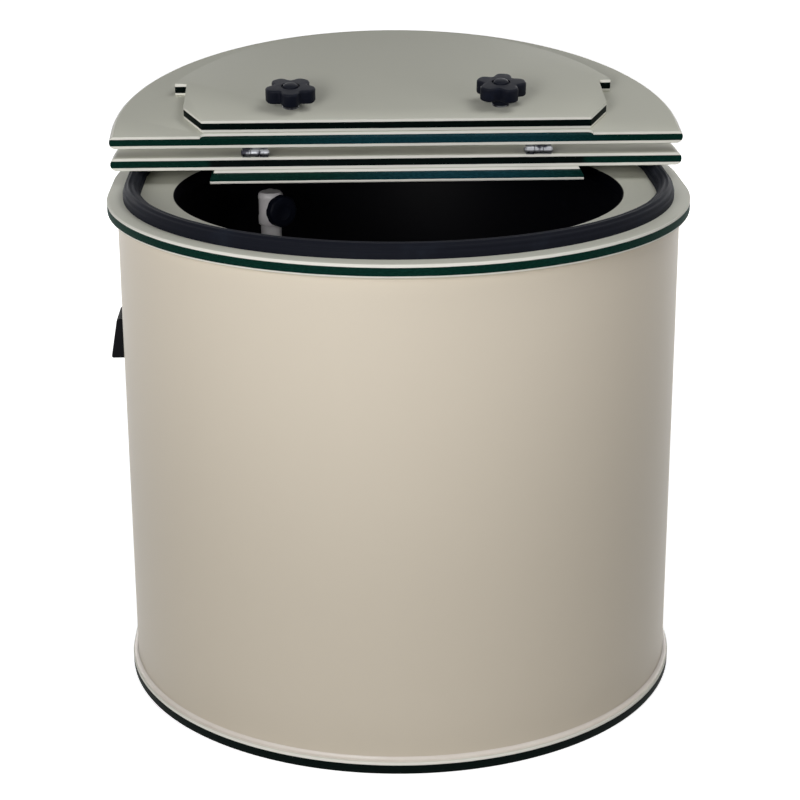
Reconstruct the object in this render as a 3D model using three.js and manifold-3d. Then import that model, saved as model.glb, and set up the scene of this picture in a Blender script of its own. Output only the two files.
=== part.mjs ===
// Live bait well: an insulated tank with round ends, a fixed rear lid half and a hinged front lid half.
// Millimetres, +Z up. The origin is the centre of the base's underside and the front faces -Y.
// The front lid is shown folded back, as in the photograph, and the hinge turns it shut.
import * as THREE from "three";
import { mergeVertices } from "three/addons/utils/BufferGeometryUtils.js";
import Module from "manifold-3d";

const wasm = await Module();
wasm.setup();

// Plan and height of the tank
const plateRadius = 280;
const straightRun = 60;
const sheet = 12.7;
const rimHeight = 485;
const rimOverhang = 9.5;
const baseOverhang = 5;
const wall = 4.8;
const ringWidth = 64;
const linerLip = 4;
const floorFoamDepth = 25;
const plateEase = 2.2;

// Clearances
const seat = 0.3;
const runningGap = 0.4;
const cutOverrun = 2;

// Weld bead at the foot of the shell
const beadHeight = 3.6;
const beadSpread = 4;
const beadToe = 0.6;

// Lid seal on the top ring
const sealInset = 15.4;
const sealWidth = 16.5;
const sealHeight = 13.4;
const sealFoot = 5;

// Lid halves, their lap and the baffle under the front half
const lidSplit = 4;
const lidRound = 6;
const lidRoundSteps = 3;
const lapWidth = 7;
const lapDepth = 3.2;
const lapInset = 88;
const ledgeInset = 97;
const ledgeDepth = 66;
const baffleFrontInset = 90;
const baffleShoulderInset = 70.5;
const baffleChamfer = 38;
const baffleEarBack = 110;
const baffleSealGap = 12;
const lidLean = 10.5;

// Butt hinges
const hingeSpacing = 277;
const hingeWidth = 25.4;
const knuckleCount = 3;
const barrelRadius = 4;
const barrelLift = 0.5;
const leafThickness = 1.8;
const leafReach = 25;
const pinRadius = 2;
const pinHeadRadius = 3.2;
const pinHeadThickness = 0.8;
const leafScrewSpacing = 14;
const leafScrewReach = 15.5;

// Countersunk screws of the hinges
const screwHeadRadius = 3.6;
const screwHeadDepth = 1.7;
const screwShankRadius = 1.8;
const screwLength = 10;
const screwSlotWidth = 0.9;
const screwSlotDepth = 0.7;

// Star knobs that clamp the baffle
const knobSpacing = 207;
const knobSetback = 43;
const knobRadius = 25;
const knobLobes = 5;
const knobLobeShare = 0.3;
const knobHeadThickness = 14;
const knobHeadEase = 3;
const knobHubRadius = 8.8;
const knobHubHeight = 10;
const knobCapRadius = 8.5;
const knobCapHeight = 2.5;
const leftKnobTurn = 18;
const rightKnobTurn = -7;
const studRadius = 4;
const studInKnob = 14;
const studInLid = 8.5;
const washerRadius = 8.5;
const washerThickness = 1.4;

// Pipes, elbow and the wall fittings they pass through
const pipeRadius = 10.65;
const pipeWall = 2.8;
const elbowRadius = 13.6;
const elbowReach = 29;
const elbowSocket = 17;
const flangeRadius = 19;
const flangeThickness = 5;
const hexSides = 6;
const hexRadius = 17;
const hexLength = 10;
const barbLength = 32;
const barbRadius = 10.2;
const barbStep = 1.4;
const barbCount = 3;
const barbWall = 2.2;

// Water inlet: it enters low on the left, rises, and leaves through a valve under the lid
const inletFloorGap = 8.6;
const riserInset = 132;
const riserAngle = 149.5;
const valveBelowRim = 49;
const valveBodyHeight = 34;
const valveBodyRadius = 12.9;
const valveSocket = 8;
const valveTurn = -56;
const bonnetRadius = 8;
const stemRadius = 3;
const stemDepth = 5;
const valveKnobReach = 20;
const valveKnobRadius = 16.5;
const valveKnobThickness = 10;
const valveKnobEase = 2.4;
const valveKnobLobes = 8;
const valveKnobLobeShare = 0.07;
const spoutTurn = 92;
const spoutRadius = 8.5;
const spoutSocket = 9;
const spoutSocketWall = 2.6;
const spoutSocketReach = 24;
const spoutLength = 36;

// Drain and overflow
const drainAngle = 48;
const drainFloorGap = 3.6;
const overflowBelowRim = 149;
const overflowRadius = 15;
const strainerRadius = 24;
const strainerDepth = 14;
const strainerWall = 2.4;
const strainerSlots = 5;
const strainerSlotWidth = 3;
const strainerSlotShare = 0.8;
const stubReach = 3;
const hoodHeight = 40;
const hoodWidth = 46;
const hoodTopReach = 8;
const hoodBottomReach = 15;
const hoodWall = 2.2;

// Facets
const endSteps = 16;
const boreSteps = 16;
const smallSteps = 10;
const lobeSteps = 6;
const beadSteps = 3;
const sealSteps = 5;

// Places worked out from the sizes above
const halfRun = straightRun / 2;
const shellRadius = plateRadius - rimOverhang;
const baseRadius = shellRadius + baseOverhang;
const openingRadius = plateRadius - ringWidth;
const linerRadius = openingRadius + linerLip;
const ringBottom = rimHeight - sheet;
const floorBottom = sheet + floorFoamDepth;
const floorTop = floorBottom + sheet;
const inletHeight = floorTop + flangeRadius + inletFloorGap;
const drainHeight = floorTop + strainerRadius + drainFloorGap;
const lidBottom = rimHeight + sealHeight + seat;
const lidTop = lidBottom + sheet;
const barrelHeight = lidTop + barrelLift + barrelRadius;
const screwTop = lidTop + leafThickness;
const screwTip = screwTop - screwLength;
const valveHeight = rimHeight - valveBelowRim;
const overflowHeight = rimHeight - overflowBelowRim;
const halfSplit = lidSplit / 2;
const knuckleLength = hingeWidth / knuckleCount;
const half = 1 / 2;
const quarterTurn = Math.PI / 2;
const fullTurn = 2 * Math.PI;
const radians = (degrees) => (degrees * Math.PI) / 180;

const cream = 0xd6ccbb;
const foam = 0xe3c98a;
const black = 0x1b1b20;
const steel = 0xc4c6c9;
const white = 0xe9e8e3;
const nearBlack = 0x14161c;

function finish(colour, roughness, metalness = 0) {
  return new THREE.MeshStandardMaterial({ color: colour, roughness, metalness });
}
const marineSheet = () => finish(cream, 0.55);
const darkLiner = () => finish(nearBlack, 0.5);
const rigidFoam = () => finish(foam, 0.95);
const rubber = () => finish(black, 0.85);
const blackPlastic = () => finish(black, 0.45);
const brightSteel = () => finish(steel, 0.3, 0.9);
const whitePlastic = () => finish(white, 0.4);

// Joins and cuts
function solid(geometry) {
  const bare = new THREE.BufferGeometry();
  const flat = geometry.index ? geometry.toNonIndexed() : geometry;
  bare.setAttribute("position", flat.getAttribute("position").clone());
  const merged = mergeVertices(bare, 1e-4);
  return new wasm.Manifold(
    new wasm.Mesh({
      numProp: 3,
      vertProperties: merged.attributes.position.array,
      triVerts: new Uint32Array(merged.index.array),
    }),
  );
}

function surface(manifold) {
  const mesh = manifold.getMesh();
  const geometry = new THREE.BufferGeometry();
  geometry.setAttribute("position", new THREE.BufferAttribute(mesh.vertProperties, 3));
  geometry.setIndex(new THREE.BufferAttribute(mesh.triVerts, 1));
  return geometry;
}

function cut(geometry, ...cutters) {
  return surface(cutters.reduce((body, cutter) => body.subtract(solid(cutter)), solid(geometry)));
}

function join(geometry, ...others) {
  return surface(others.reduce((body, other) => body.add(solid(other)), solid(geometry)));
}

// Shapes used by several pieces
function roundEnded(radius, Outline = THREE.Shape) {
  const outline = new Outline();
  outline.absarc(0, halfRun, radius, 0, Math.PI);
  outline.absarc(0, -halfRun, radius, Math.PI, fullTurn);
  return outline;
}

function circle(x, y, radius) {
  return new THREE.Path().absarc(x, y, radius, 0, fullTurn);
}

function slab(shape, bottom, thickness, ease = 0, easeSteps = 1) {
  const geometry = new THREE.ExtrudeGeometry(shape, {
    depth: thickness - 2 * ease,
    bevelEnabled: ease > 0,
    bevelThickness: ease,
    bevelSize: ease,
    bevelOffset: -ease,
    bevelSegments: easeSteps,
    curveSegments: endSteps,
  });
  return geometry.translate(0, 0, bottom + ease);
}

function box(low, high) {
  const size = new THREE.Vector3().subVectors(high, low);
  const middle = new THREE.Vector3().addVectors(low, high).multiplyScalar(half);
  return new THREE.BoxGeometry(...size).translate(...middle);
}

// A solid of revolution about Z from [radius, height] pairs that start and end on the axis
function turned(profile, steps = boreSteps) {
  const points = profile.map(([radius, height]) => new THREE.Vector2(radius, height));
  return new THREE.LatheGeometry(points, steps).rotateX(quarterTurn);
}

function rod(radius, bottom, top, steps = boreSteps) {
  return turned([[0, bottom], [radius, bottom], [radius, top], [0, top]], steps);
}

// The same rod laid along X
function crossRod(radius, from, to, steps = boreSteps) {
  return rod(radius, from, to, steps).rotateY(quarterTurn);
}

function tube(radius, bore, bottom, top, steps = boreSteps) {
  return turned([[bore, bottom], [radius, bottom], [radius, top], [bore, top], [bore, bottom]], steps);
}

// The same tube laid along X
function crossTube(radius, bore, from, to) {
  return tube(radius, bore, from, to).rotateY(quarterTurn);
}

// A closed section of [radius, height] pairs carried round the plan of the tank
function carriedRound(section) {
  const rings = section.map(([radius, height]) => {
    const points = roundEnded(radius, THREE.Path).getPoints(endSteps);
    return points.map((point) => [point.x, point.y, height]);
  });
  const count = rings[0].length;
  const index = [];
  rings.forEach((ring, i) => {
    const here = i * count;
    const above = ((i + 1) % rings.length) * count;
    ring.forEach((point, j) => {
      const next = (j + 1) % count;
      index.push(here + j, here + next, above + next, here + j, above + next, above + j);
    });
  });
  const geometry = new THREE.BufferGeometry();
  geometry.setAttribute("position", new THREE.Float32BufferAttribute(rings.flat(2), 3));
  geometry.setIndex(index);
  return geometry;
}

// The object: fixed pieces hang on the tank, the moving lid half hangs on the hinge line
const baitWell = new THREE.Group();
const hingeLine = new THREE.Group();
hingeLine.position.z = barrelHeight;
hingeLine.rotation.x = radians(lidLean) - Math.PI;
const shutLid = new THREE.Group();
shutLid.position.z = -barrelHeight;
hingeLine.add(shutLid);
baitWell.add(hingeLine);

function add(name, geometry, material, parent = baitWell) {
  const mesh = new THREE.Mesh(geometry, material);
  mesh.name = name;
  parent.add(mesh);
  return mesh;
}

// Pieces through the wall are drawn along X with the tank's middle behind them. A round place turns
// them about the middle of the rear end, and the side place points them left through the flat side.
function onRearEnd(geometry, turn, height) {
  return geometry.rotateZ(turn).translate(0, halfRun, height);
}

function onLeftSide(geometry) {
  return geometry.rotateZ(Math.PI).translate(0, 0, overflowHeight);
}

const riserReach = plateRadius - riserInset;
const inletTurn = radians(riserAngle);
const drainTurn = radians(drainAngle);

function wallBore(radius) {
  return crossRod(radius + seat, linerRadius * half, plateRadius);
}

function wallHoles() {
  return [
    onRearEnd(wallBore(pipeRadius), inletTurn, inletHeight),
    onRearEnd(wallBore(pipeRadius), drainTurn, drainHeight),
    onLeftSide(wallBore(overflowRadius)),
  ];
}

// Tank
function ringShape(outer, inner) {
  const shape = roundEnded(outer);
  shape.holes.push(roundEnded(inner, THREE.Path));
  return shape;
}

function weldBead() {
  const section = [[shellRadius + seat, sheet]];
  const toe = shellRadius + beadSpread;
  section.push([toe, sheet], [toe, sheet + beadToe]);
  for (let i = 1; i < beadSteps; i++) {
    const turn = (quarterTurn * i) / beadSteps;
    const across = (beadSpread - seat) * (1 - Math.sin(turn));
    const up = beadToe + (beadHeight - beadToe) * (1 - Math.cos(turn));
    section.push([shellRadius + seat + across, sheet + up]);
  }
  section.push([shellRadius + seat, sheet + beadHeight]);
  return carriedRound(section);
}

function lidSeal() {
  const outer = plateRadius - sealInset;
  const inner = outer - sealWidth;
  const middle = (outer + inner) * half;
  const crown = sealHeight - sealFoot;
  const section = [[inner, rimHeight], [outer, rimHeight]];
  for (let i = 0; i <= sealSteps; i++) {
    const turn = (Math.PI * i) / sealSteps;
    const across = sealWidth * half * Math.cos(turn);
    section.push([middle + across, rimHeight + sealFoot + crown * Math.sin(turn)]);
  }
  return carriedRound(section);
}

function topRing() {
  const shape = roundEnded(plateRadius);
  shape.holes.push(circle(0, -halfRun, openingRadius));
  return slab(shape, ringBottom, sheet, plateEase);
}

add("base_plate", slab(roundEnded(baseRadius), 0, sheet, plateEase), marineSheet());
add("base_weld_bead", weldBead(), marineSheet());
const shellBand = slab(ringShape(shellRadius, shellRadius - wall), sheet, ringBottom - sheet);
add("outer_shell", cut(shellBand, ...wallHoles()), marineSheet());
const foamOuter = shellRadius - wall - seat;
const foamInner = linerRadius + wall + seat;
const foamTop = ringBottom - seat;
const foamBand = slab(ringShape(foamOuter, foamInner), floorBottom, foamTop - floorBottom);
add("wall_insulation", cut(foamBand, ...wallHoles()), rigidFoam());
add("floor_insulation", slab(roundEnded(foamOuter), sheet, floorFoamDepth), rigidFoam());
add("tank_floor", slab(roundEnded(linerRadius + wall), floorBottom, sheet), darkLiner());
const linerBand = slab(ringShape(linerRadius + wall, linerRadius), floorTop, ringBottom - floorTop);
add("tank_liner", cut(linerBand, ...wallHoles()), darkLiner());
add("top_ring", topRing(), marineSheet());
add("lid_seal", lidSeal(), rubber());

// Lid halves. Both are drawn shut: the rear half behind the hinge line, the front half before it.
// Each is a whole round-edged plate, sawn through beside the hinge line.
function strip(halfLength, from, to, bottom, top) {
  const low = new THREE.Vector3(-halfLength, from, bottom);
  const high = new THREE.Vector3(halfLength, to, top);
  return box(low, high);
}

function halfLid(...cutters) {
  const plate = slab(roundEnded(plateRadius), lidBottom, sheet, lidRound, lidRoundSteps);
  const above = lidTop + cutOverrun;
  const sawn = strip(plateRadius * 2, -plateRadius * 2, halfSplit, lidBottom - cutOverrun, above);
  return cut(plate, sawn, ...cutters);
}

function leafScrewHoles(side) {
  const holes = [];
  for (const hinge of [-1, 1]) {
    for (const place of [-1, 1]) {
      const x = (hinge * hingeSpacing + place * leafScrewSpacing) * half;
      const hole = rod(screwShankRadius + seat, screwTip - seat, lidTop + cutOverrun, smallSteps);
      holes.push(hole.translate(x, side * leafScrewReach, 0));
    }
  }
  return holes;
}

add("rear_lid", halfLid(...leafScrewHoles(1)), marineSheet());

function ledge() {
  const halfLength = plateRadius - ledgeInset;
  const front = halfSplit - lapWidth;
  const bar = strip(halfLength, front, front + ledgeDepth, lidBottom - sheet, lidBottom);
  const lapTop = lidBottom + cutOverrun;
  const lap = strip(plateRadius, front - cutOverrun, halfSplit, lidBottom - lapDepth, lapTop);
  return cut(bar, lap);
}
add("lid_ledge", ledge(), marineSheet());

const studTop = lidBottom + studInLid;
function studHole(radius, bottom, top) {
  return [-1, 1].map((side) => {
    const hole = rod(radius + seat, bottom, top, smallSteps);
    return hole.translate((side * knobSpacing) * half, -knobSetback, 0);
  });
}

function frontLid() {
  const plate = halfLid().rotateZ(Math.PI);
  const lapLength = plateRadius - lapInset;
  const lapBack = -halfSplit - lapWidth;
  const lap = strip(lapLength, lapBack, cutOverrun, lidBottom - cutOverrun, lidBottom + lapDepth);
  const studs = studHole(studRadius, lidBottom - cutOverrun, studTop + seat);
  return cut(plate, lap, ...studs, ...leafScrewHoles(-1));
}
add("front_lid", frontLid(), marineSheet(), shutLid);

// The baffle fits inside the seal. Behind its ears the sides are cut in, up to the chamfered front.
const baffleTop = lidBottom - seat;
const baffleBottom = baffleTop - sheet;
function baffle() {
  const face = -halfSplit - lapWidth - seat;
  const radius = plateRadius - sealInset - sealWidth - baffleSealGap;
  const earAngle = Math.asin((baffleEarBack - halfRun) / radius);
  const frontHalf = plateRadius - baffleFrontInset;
  const shoulder = plateRadius - baffleShoulderInset;
  const shape = new THREE.Shape();
  shape.moveTo(frontHalf, face);
  shape.lineTo(-frontHalf, face);
  shape.lineTo(-shoulder, face - baffleChamfer);
  shape.lineTo(-shoulder, -baffleEarBack);
  shape.absarc(0, -halfRun, radius, Math.PI + earAngle, fullTurn - earAngle);
  shape.lineTo(shoulder, -baffleEarBack);
  shape.lineTo(shoulder, face - baffleChamfer);
  const plate = slab(shape, baffleBottom, sheet, plateEase);
  return cut(plate, ...studHole(studRadius, baffleBottom - cutOverrun, baffleTop + cutOverrun));
}
add("splash_baffle", baffle(), marineSheet(), shutLid);

// Star knobs, each with its washer and stud
const washerTop = baffleBottom - seat;
const knobBase = washerTop - washerThickness - seat;
const headTop = knobBase - knobHubHeight;
const headBottom = headTop - knobHeadThickness;

function lobed(outer, lobes, depthShare) {
  const points = [];
  const count = lobes * lobeSteps;
  for (let i = 0; i < count; i++) {
    const angle = (fullTurn * i) / count;
    const dip = (1 - Math.cos(lobes * angle)) * half;
    const radius = outer * (1 - depthShare * dip * dip);
    points.push(new THREE.Vector2(radius * Math.cos(angle), radius * Math.sin(angle)));
  }
  return new THREE.Shape(points);
}

function starKnob() {
  const outline = lobed(knobRadius, knobLobes, knobLobeShare);
  const head = slab(outline, headBottom, knobHeadThickness, knobHeadEase);
  const hub = rod(knobHubRadius, headTop - knobHeadEase, knobBase);
  const capBottom = headBottom - knobCapHeight;
  const capEdge = headBottom - knobCapHeight * half;
  const cap = turned([
    [0, capBottom],
    [knobCapRadius * half, capBottom],
    [knobCapRadius, capEdge],
    [knobCapRadius, headTop - knobHeadEase],
    [0, headTop - knobHeadEase],
  ]);
  const bore = rod(studRadius + seat, knobBase - studInKnob - seat, knobBase + cutOverrun);
  return cut(join(head, hub, cap), bore);
}

for (const [name, side, turn] of [["left", -1, leftKnobTurn], ["right", 1, rightKnobTurn]]) {
  const place = new THREE.Group();
  place.position.set((side * knobSpacing) * half, -knobSetback, 0);
  shutLid.add(place);
  add("star_knob_" + name, starKnob().rotateZ(radians(turn)), blackPlastic(), place);
  const washer = tube(washerRadius, studRadius + seat, washerTop - washerThickness, washerTop);
  add("knob_washer_" + name, washer, brightSteel(), place);
  const stud = rod(studRadius, knobBase - studInKnob, studTop, smallSteps);
  add("knob_stud_" + name, stud, brightSteel(), place);
}

// Butt hinges: the fixed leaf holds the outer knuckles, the moving leaf the middle one
function leaf(side, knuckles, lift) {
  const outline = new THREE.Shape();
  const inner = barrelRadius + runningGap;
  outline.moveTo(-hingeWidth * half, side * inner);
  outline.lineTo(hingeWidth * half, side * inner);
  outline.lineTo(hingeWidth * half, side * leafReach);
  outline.lineTo(-hingeWidth * half, side * leafReach);
  let body = solid(slab(outline, lidTop + lift, leafThickness));
  for (const knuckle of knuckles) {
    const middle = knuckle * knuckleLength;
    const reach = (knuckleLength - runningGap) * half;
    const barrel = crossRod(barrelRadius, middle - reach, middle + reach);
    const low = new THREE.Vector3(middle - reach, Math.min(0, side * inner), lidTop + lift);
    const high = new THREE.Vector3(middle + reach, Math.max(0, side * inner), lidTop + lift + leafThickness);
    body = body.add(solid(barrel.translate(0, 0, barrelHeight))).add(solid(box(low, high)));
  }
  const bore = crossRod(pinRadius + seat, -hingeWidth, hingeWidth, smallSteps).translate(0, 0, barrelHeight);
  body = body.subtract(solid(bore));
  for (const place of [-1, 1]) {
    const sink = screwBlank(seat, lift);
    body = body.subtract(solid(sink.translate(place * leafScrewSpacing * half, side * leafScrewReach, 0)));
  }
  return surface(body);
}

function screwBlank(clearance, lift) {
  const top = screwTop + lift;
  const neck = top - screwHeadDepth;
  return turned([
    [0, screwTip + lift],
    [screwShankRadius + clearance, screwTip + lift],
    [screwShankRadius + clearance, neck],
    [screwHeadRadius + clearance, top],
    [screwHeadRadius + clearance, top + clearance],
    [0, top + clearance],
  ], smallSteps);
}

function leafScrew(lift) {
  const top = screwTop + lift;
  const low = new THREE.Vector3(-screwHeadRadius, -screwSlotWidth * half, top - screwSlotDepth);
  const high = new THREE.Vector3(screwHeadRadius, screwSlotWidth * half, top + cutOverrun);
  return cut(screwBlank(0, lift), box(low, high));
}

function hingePin() {
  const end = hingeWidth * half + seat;
  const shaft = crossRod(pinRadius, -end, end, smallSteps);
  const heads = [-1, 1].map((side) => {
    const from = Math.min(side * end, side * (end + pinHeadThickness));
    return crossRod(pinHeadRadius, from, from + pinHeadThickness, smallSteps);
  });
  return join(shaft, ...heads);
}

for (const [name, side] of [["left", -1], ["right", 1]]) {
  const x = (side * hingeSpacing) * half;
  const fixed = new THREE.Group();
  const moving = new THREE.Group();
  fixed.position.x = x;
  moving.position.x = x;
  baitWell.add(fixed);
  shutLid.add(moving);
  add("hinge_leaf_fixed_" + name, leaf(1, [-1, 1], 0), brightSteel(), fixed);
  add("hinge_leaf_moving_" + name, leaf(-1, [0], seat), brightSteel(), moving);
  add("hinge_pin_" + name, hingePin().translate(0, 0, barrelHeight), brightSteel(), fixed);
  for (const [order, place] of [["a", -1], ["b", 1]]) {
    const along = place * leafScrewSpacing * half;
    const rear = leafScrew(0).translate(along, leafScrewReach, 0);
    const front = leafScrew(seat).translate(along, -leafScrewReach, 0);
    add("screw_fixed_" + name + "_" + order, rear, brightSteel(), fixed);
    add("screw_moving_" + name + "_" + order, front, brightSteel(), moving);
  }
}

// Wall fittings: a flanged nut inside, a pipe through the wall and a hose barb outside
function flatSeat(radius, reach) {
  const facet = radius * Math.cos(quarterTurn * half / endSteps);
  return Math.sqrt(facet ** 2 - reach ** 2) - seat;
}
const barbStart = shellRadius + seat;
const pipeEnd = barbStart + hexLength * half;
const nutFace = flatSeat(linerRadius, flangeRadius);
const nutBack = nutFace - flangeThickness;

function hoseBarb() {
  const hexEnd = barbStart + hexLength;
  const neck = barbRadius - barbStep;
  const profile = [[0, pipeEnd], [neck, pipeEnd]];
  for (let i = 0; i < barbCount; i++) {
    const foot = hexEnd + (barbLength * (i + half)) / (barbCount + half);
    const tip = hexEnd + (barbLength * (i + 1 + half)) / (barbCount + half);
    profile.push([neck, foot], [barbRadius, foot], [neck, tip]);
  }
  profile.push([0, hexEnd + barbLength]);
  const hex = crossRod(hexRadius, barbStart, hexEnd, hexSides);
  const stem = turned(profile).rotateY(quarterTurn);
  const socket = crossRod(pipeRadius + seat, barbStart - cutOverrun, pipeEnd + seat);
  const bore = crossRod(neck - barbWall, barbStart, hexEnd + barbLength + cutOverrun, smallSteps);
  return cut(join(hex, stem), socket, bore);
}

function wallFitting(name, turn, height, innerEnd) {
  const nut = crossTube(flangeRadius, pipeRadius + seat, nutBack, nutFace);
  const pipe = crossTube(pipeRadius, pipeRadius - pipeWall, innerEnd, pipeEnd);
  add(name + "_flange_nut", onRearEnd(nut, turn, height), whitePlastic());
  add(name + "_pipe", onRearEnd(pipe, turn, height), whitePlastic());
  add(name + "_hose_barb", onRearEnd(hoseBarb(), turn, height), blackPlastic());
}

// A slotted cup that keeps fish out of a hole in the wall. Its rim faces the wall.
function strainer(face) {
  const front = face - strainerDepth;
  const inner = strainerRadius - strainerWall;
  const back = front + strainerWall;
  const cup = turned([
    [0, front],
    [strainerRadius, front],
    [strainerRadius, face],
    [inner, face],
    [inner, back],
    [0, back],
  ]).rotateY(quarterTurn);
  const slots = [];
  for (let i = 0; i < strainerSlots; i++) {
    const y = inner * ((2 * i + 1) / strainerSlots - 1) * strainerSlotShare;
    const reach = Math.sqrt(inner ** 2 - y ** 2) * strainerSlotShare;
    const low = new THREE.Vector3(front - cutOverrun, y - strainerSlotWidth * half, -reach);
    const high = new THREE.Vector3(back + cutOverrun, y + strainerSlotWidth * half, reach);
    slots.push(box(low, high));
  }
  return cut(cup, ...slots);
}

wallFitting("inlet", inletTurn, inletHeight, riserReach + elbowReach - elbowSocket + seat);
wallFitting("drain", drainTurn, drainHeight, nutBack - stubReach);
const drainCup = strainer(flatSeat(linerRadius, strainerRadius));
add("drain_strainer", onRearEnd(drainCup, drainTurn, drainHeight), blackPlastic());

const overflowBore = overflowRadius - pipeWall;
const overflowPipe = crossTube(overflowRadius, overflowBore, linerRadius - stubReach, shellRadius + stubReach);
add("overflow_pipe", onLeftSide(overflowPipe), whitePlastic());
add("overflow_strainer", onLeftSide(strainer(linerRadius - seat)), blackPlastic());

// The hood over the overflow's outside end leans out towards its open foot
function hoodBlock(inset, overrun) {
  const back = shellRadius + seat - overrun;
  const low = -hoodHeight * half - overrun;
  const high = hoodHeight * half - inset;
  const width = hoodWidth - 2 * inset;
  const side = new THREE.Shape();
  side.moveTo(back, low);
  side.lineTo(shellRadius + hoodBottomReach - inset, low);
  side.lineTo(shellRadius + hoodTopReach - inset, high);
  side.lineTo(back, high);
  return slab(side, -width * half, width).rotateX(quarterTurn);
}
const hood = cut(hoodBlock(0, 0), hoodBlock(hoodWall, cutOverrun));
add("overflow_hood", onLeftSide(hood), blackPlastic());

// Riser, valve and spout
const valveBottom = valveHeight - valveBodyHeight * half;
const valveTop = valveHeight + valveBodyHeight * half;
const bore = pipeRadius - pipeWall;
const riser = new THREE.Group();
const riserX = riserReach * Math.cos(inletTurn);
const riserY = halfRun + riserReach * Math.sin(inletTurn);
riser.position.set(riserX, riserY, 0);
baitWell.add(riser);

function elbow() {
  const upright = rod(elbowRadius, 0, elbowReach);
  const level = crossRod(elbowRadius, 0, elbowReach).rotateZ(inletTurn);
  const corner = new THREE.SphereGeometry(elbowRadius, boreSteps, smallSteps).rotateX(quarterTurn);
  const stop = elbowReach - elbowSocket;
  const end = elbowReach + cutOverrun;
  const sockets = [
    rod(pipeRadius + seat, stop, end),
    crossRod(pipeRadius + seat, stop, end).rotateZ(inletTurn),
    rod(bore, 0, end),
    crossRod(bore, 0, end).rotateZ(inletTurn),
  ];
  return cut(join(upright, level, corner), ...sockets).translate(0, 0, inletHeight);
}

function atValve(geometry, turn) {
  return geometry.rotateZ(radians(turn)).translate(0, 0, valveHeight);
}

const valveKnobBack = valveKnobReach - valveKnobThickness * half;
const bonnetEnd = valveKnobBack - runningGap;
const stemStart = bonnetEnd - stemDepth;
const stemEnd = valveKnobReach;
function valveBody() {
  const cap = turned([
    [0, valveBottom],
    [valveBodyRadius, valveBottom],
    [valveBodyRadius, valveTop - valveKnobEase],
    [valveBodyRadius - valveKnobEase, valveTop],
    [0, valveTop],
  ]);
  const outletRadius = spoutRadius + spoutSocketWall;
  const bonnet = atValve(crossRod(bonnetRadius, 0, bonnetEnd), valveTurn);
  const outlet = atValve(crossRod(outletRadius, 0, spoutSocketReach), spoutTurn);
  const spoutHole = crossRod(spoutRadius + seat, spoutSocketReach - spoutSocket, valveBodyHeight);
  return cut(
    join(cap, bonnet, outlet),
    rod(pipeRadius + seat, valveBottom - cutOverrun, valveBottom + valveSocket),
    rod(bore, valveBottom, valveHeight + bore * half),
    atValve(crossRod(bore * half, 0, spoutSocketReach), spoutTurn),
    atValve(spoutHole, spoutTurn),
    atValve(crossRod(stemRadius + seat, stemStart - seat, valveBodyHeight), valveTurn),
  );
}

function valveKnob() {
  const outline = lobed(valveKnobRadius, valveKnobLobes, valveKnobLobeShare);
  const head = slab(outline, valveKnobBack, valveKnobThickness, valveKnobEase);
  const socket = rod(stemRadius + seat, bonnetEnd, stemEnd + seat, smallSteps);
  return cut(head, socket).rotateY(quarterTurn);
}

const riserBottom = inletHeight + elbowReach - elbowSocket + seat;
const riserTop = valveBottom + valveSocket - seat;
const stem = crossRod(stemRadius, stemStart, stemEnd, smallSteps);
const spoutStart = spoutSocketReach - spoutSocket + seat;
const spoutTube = crossTube(spoutRadius, spoutRadius - pipeWall, spoutStart, spoutStart + spoutLength);
add("inlet_elbow", elbow(), whitePlastic(), riser);
add("riser_pipe", tube(pipeRadius, bore, riserBottom, riserTop), whitePlastic(), riser);
add("valve_body", valveBody(), whitePlastic(), riser);
add("valve_stem", atValve(stem, valveTurn), brightSteel(), riser);
add("valve_knob", atValve(valveKnob(), valveTurn), blackPlastic(), riser);
add("spout", atValve(spoutTube, spoutTurn), whitePlastic(), riser);

export default baitWell;
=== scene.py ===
import math

import bmesh
import bpy
from mathutils import Matrix, Vector


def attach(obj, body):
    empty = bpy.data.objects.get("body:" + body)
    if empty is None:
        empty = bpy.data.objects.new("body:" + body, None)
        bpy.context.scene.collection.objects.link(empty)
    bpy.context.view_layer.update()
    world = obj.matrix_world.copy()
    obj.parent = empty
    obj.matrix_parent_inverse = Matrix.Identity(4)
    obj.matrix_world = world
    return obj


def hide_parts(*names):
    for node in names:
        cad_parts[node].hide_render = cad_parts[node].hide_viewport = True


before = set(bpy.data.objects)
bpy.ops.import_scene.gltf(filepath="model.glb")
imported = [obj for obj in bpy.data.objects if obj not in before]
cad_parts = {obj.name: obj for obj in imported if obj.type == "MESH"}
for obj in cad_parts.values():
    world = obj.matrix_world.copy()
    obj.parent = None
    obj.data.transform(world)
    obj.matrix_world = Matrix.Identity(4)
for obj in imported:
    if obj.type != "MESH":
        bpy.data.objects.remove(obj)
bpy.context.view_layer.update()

# Shapes are drawn in millimetres and brought to metres when a piece is finished.
MM = 0.001

# Tank and sheet
PLATE_RADIUS = 280
BASE_RADIUS = 275.5
HALF_RUN = 30
SHEET = 12.7
SKIN = 3.0
RIM = 485
SHELL_RADIUS = 270.5
WALL = 4.8
OPENING = 216
LINER = 220
FLOOR_TOP = 50.4
# The gap left where one piece rests on another
SEAT = 0.3

# Lid
LID_BOTTOM = 498.7
LID_TOP = LID_BOTTOM + SHEET
LID_ROUND = 6
HALF_SPLIT = 2
AXIS_HEIGHT = 515.9
LEAN = 10.5
LAP_WIDTH = 7
LAP_DEPTH = 3.2
LAP_HALF = 192
LEDGE_HALF = 183
LEDGE_FRONT = -5
LEDGE_BACK = 61

# Knobs
KNOB_REACH = 103.5
KNOB_SETBACK = 43
KNOB_RADIUS = 25
KNOB_HEIGHT = 14
STUD_RADIUS = 4
STUD_HOLE = 4.3
STUD_DEPTH = 14
WASHER_THICKNESS = 1.4

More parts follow.
